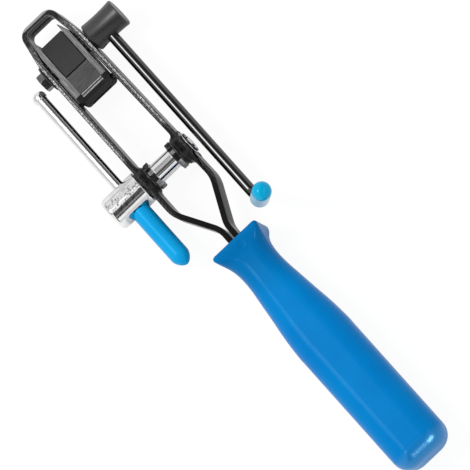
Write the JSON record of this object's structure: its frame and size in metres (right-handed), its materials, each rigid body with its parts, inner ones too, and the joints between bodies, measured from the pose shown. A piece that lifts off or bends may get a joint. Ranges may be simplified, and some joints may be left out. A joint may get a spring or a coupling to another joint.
{
  "type": "ear clamp pliers",
  "caption": "Hand band tool: U-shaped strip frame on a moulded handle, a slotted winding shaft with cranked hub, and a cutter block worked by a side lever.",
  "frame": {"origin": "on the winding shaft's axis, midway between its two toothed wheels", "axes": "+X from the nose to the handle, +Y across the tool to the lever's side, +Z to the top, where the lever's end points"},
  "size_m": [0.2723, 0.0651, 0.0487],
  "materials": {
    "frame_black": "black oxide with bare speckled edges",
    "handle_blue": "glossy moulded plastic",
    "sleeve_blue": "glossy dipped sleeve",
    "grip_blue": "glossy pushed-on sleeve",
    "cheek_steel": "dark oxide",
    "blade_steel": "dark oxide with fine machining lines",
    "key_steel": "dark oxide with worn edges",
    "block_black": "black oxide",
    "jaw_black": "black oxide",
    "head_black": "satin black oxide",
    "rod_black": "glossy black plating",
    "nut_black": "black oxide",
    "dark_steel": "dark turned steel",
    "spring_steel": "spring wire",
    "chrome": "bright plating",
    "chrome_dark": "dark bright plating"
  },
  "bodies": {
    "body": {"frame": "frame_black", "handle": "handle_blue", "cheek_left": "cheek_steel", "cheek_right": "cheek_steel", "fixed_blade": "blade_steel", "blade_key": "key_steel", "bridge_block": "block_black", "bridge_pins": "dark_steel", "cheek_rivets": "dark_steel", "spacer_washers": "dark_steel", "bush_left": "dark_steel", "bush_right": "dark_steel", "pawl_pin": "dark_steel", "pawl_spring": "spring_steel"},
    "lever": {"cutter_shaft": "dark_steel", "cutter_jaw": "jaw_black", "lever_washer": "dark_steel", "lever_head": "head_black", "head_pin": "dark_steel", "lever_rod": "rod_black", "lever_grip": "sleeve_blue", "nut_washer": "dark_steel", "cutter_nut": "nut_black"},
    "winder": {"winding_shaft": "chrome", "ratchet_wheel_left": "chrome_dark", "ratchet_wheel_right": "chrome_dark", "hub": "chrome", "hub_pin": "dark_steel", "hub_washer": "dark_steel", "end_washer": "chrome", "retaining_ring": "dark_steel"},
    "crank": {"crank_bar": "chrome", "crank_button": "chrome", "crank_grip": "grip_blue"},
    "pawl": {"pawl": "dark_steel"}
  },
  "joints": [
    {"name": "cutter_lever", "type": "hinge", "parent": "body", "child": "lever", "pos_m": [-0.0669, 0, 0], "axis": [0, -1, 0], "range_deg": [0, 80]},
    {"name": "winder_turn", "type": "hinge", "parent": "body", "child": "winder", "pos_m": [0, 0, 0], "axis": [0, -1, 0], "continuous": true},
    {"name": "crank_slide", "type": "slide", "parent": "winder", "child": "crank", "axis": [1, 0, 0], "range_m": [0, 0.053]},
    {"name": "pawl_lift", "type": "hinge", "parent": "body", "child": "pawl", "pos_m": [-0.0056, 0, -0.0098], "axis": [0, 1, 0], "range_deg": [0, 12], "stiffness_Nm_per_rad": 0.01, "springref_deg": -11.46}
  ]
}
